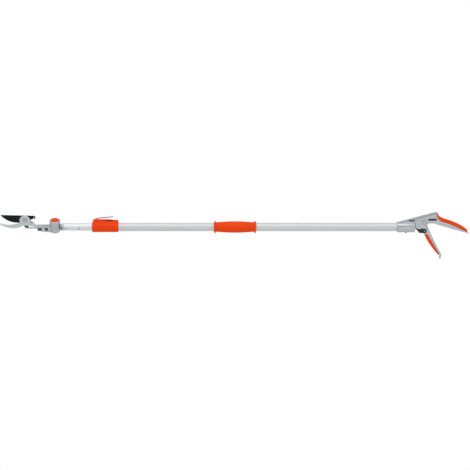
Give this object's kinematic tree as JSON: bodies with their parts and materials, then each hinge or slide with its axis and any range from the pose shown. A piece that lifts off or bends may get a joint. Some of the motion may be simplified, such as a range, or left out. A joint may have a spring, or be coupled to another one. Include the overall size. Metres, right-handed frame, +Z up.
{
  "type": "telescoping pole pruner",
  "caption": "Telescoping long-reach pruner: bypass blade and hook on a tilting head, two-section aluminium pole with flip clamp and grip, trigger handle that pulls an inner rod.",
  "frame": {"origin": "on the pole's axis, at the middle of the foam hand grip", "axes": "+X along the pole from the cutting head to the handle, +Z up with the trigger hanging down"},
  "size_m": [1.8019, 0.0561, 0.1786],
  "materials": {
    "anodised_tube": "satin silver anodised",
    "bright_tube": "bright anodised",
    "orange_plastic": "satin moulded orange",
    "orange_grip": "soft moulded orange",
    "die_casting": "shot-blasted die casting",
    "drive_rod": "drawn",
    "coated_blade": "black non-stick coating over steel",
    "hook_steel": "satin plated",
    "bright_steel": "zinc plated",
    "lever_steel": "dark plated",
    "black_plastic": "satin black",
    "nylon": "moulded"
  },
  "bodies": {
    "pole": {"outer_tube": "anodised_tube", "hand_grip": "orange_grip", "clamp_housing": "orange_plastic", "clamp_sleeve": "nylon", "clamp_lever_pin": "bright_steel", "handle_casting": "die_casting", "grip_pad": "orange_grip", "cheek_cover_near": "die_casting", "cheek_cover_far": "die_casting", "trigger_pivot_pin": "bright_steel", "trigger_pivot_nut": "bright_steel", "collar_screw": "bright_steel", "rod_guide_rear": "nylon", "return_spring": "bright_steel"},
    "clamp_lever": {"clamp_lever": "lever_steel"},
    "trigger": {"trigger": "die_casting", "trigger_pad": "orange_grip", "drive_pin": "bright_steel", "catch_pin": "bright_steel"},
    "lock_catch": {"lock_catch": "black_plastic"},
    "rear_rod": {"drive_rod_rear": "drive_rod"},
    "slider": {"guide_bush": "nylon"},
    "inner_pole": {"inner_tube": "bright_tube", "rod_guide_front": "nylon", "pole_rivet_front": "bright_steel", "pole_rivet_rear": "bright_steel", "head_socket": "die_casting", "tilt_stud": "bright_steel", "tilt_bolt": "bright_steel", "button_spring": "bright_steel"},
    "angle_button": {"angle_button": "orange_plastic"},
    "front_rod": {"drive_rod_front": "drive_rod"},
    "cutting_head": {"head_body": "die_casting", "hook_plate": "hook_steel", "hook_rivet": "bright_steel", "pivot_bolt": "bright_steel", "pivot_washer": "hook_steel", "pivot_nut": "bright_steel", "stop_screw": "bright_steel"},
    "blade": {"blade": "coated_blade", "link_pin": "bright_steel"},
    "pull_link": {"pull_link": "hook_steel", "drive_cable": "bright_steel"}
  },
  "joints": [
    {"name": "trigger_pivot", "type": "hinge", "parent": "pole", "child": "trigger", "pos_m": [0.7265, 0, 0.0169], "axis": [0, -1, 0], "range_deg": [0, 36], "stiffness_Nm_per_rad": 1, "springref_deg": -22.92},
    {"name": "catch_pivot", "type": "hinge", "parent": "trigger", "child": "lock_catch", "pos_m": [0.7277, 0, -0.0169], "axis": [0, -1, 0], "range_deg": [0, 60]},
    {"name": "lever_pivot", "type": "hinge", "parent": "pole", "child": "clamp_lever", "pos_m": [-0.536, 0, 0.0263], "axis": [0, -1, 0], "range_deg": [0, 100]},
    {"name": "telescope", "type": "slide", "parent": "pole", "child": "slider", "axis": [-1, 0, 0], "range_m": [0, 1]},
    {"name": "pole_twist", "type": "hinge", "parent": "slider", "child": "inner_pole", "pos_m": [-0.6, 0, 0], "axis": [1, 0, 0], "continuous": true},
    {"name": "head_tilt", "type": "hinge", "parent": "inner_pole", "child": "cutting_head", "pos_m": [-0.6908, 0, 0], "axis": [0, -0.5, 0.866], "range_deg": [-60, 60], "deforming": ["drive_cable"]},
    {"name": "button_press", "type": "slide", "parent": "inner_pole", "child": "angle_button", "axis": [0, 0.5, -0.866], "range_m": [0, 0.004], "stiffness_N_per_m": 600, "springref_m": -0.003, "deforming": ["button_spring"]},
    {"name": "rear_rod_slide", "type": "slide", "parent": "pole", "child": "rear_rod", "axis": [1, 0, 0], "range_m": [0, 0.0122], "deforming": ["return_spring"]},
    {"name": "front_rod_slide", "type": "slide", "parent": "inner_pole", "child": "front_rod", "axis": [1, 0, 0], "range_m": [0, 0.0122]},
    {"name": "link_slide", "type": "slide", "parent": "cutting_head", "child": "pull_link", "axis": [1, 0, 0], "range_m": [0, 0.0122]},
    {"name": "blade_pivot", "type": "hinge", "parent": "cutting_head", "child": "blade", "pos_m": [-0.806, -0.01525, 0.02641], "axis": [0, -0.866, -0.5], "range_deg": [0, 23.1]}
  ],
  "couplings": [
    {"joint": "rear_rod_slide", "follows": "trigger_pivot", "m_per_rad": 0.019363},
    {"joint": "front_rod_slide", "follows": "trigger_pivot", "m_per_rad": 0.019363},
    {"joint": "link_slide", "follows": "trigger_pivot", "m_per_rad": 0.019363},
    {"joint": "blade_pivot", "follows": "trigger_pivot", "ratio": 0.63889}
  ]
}
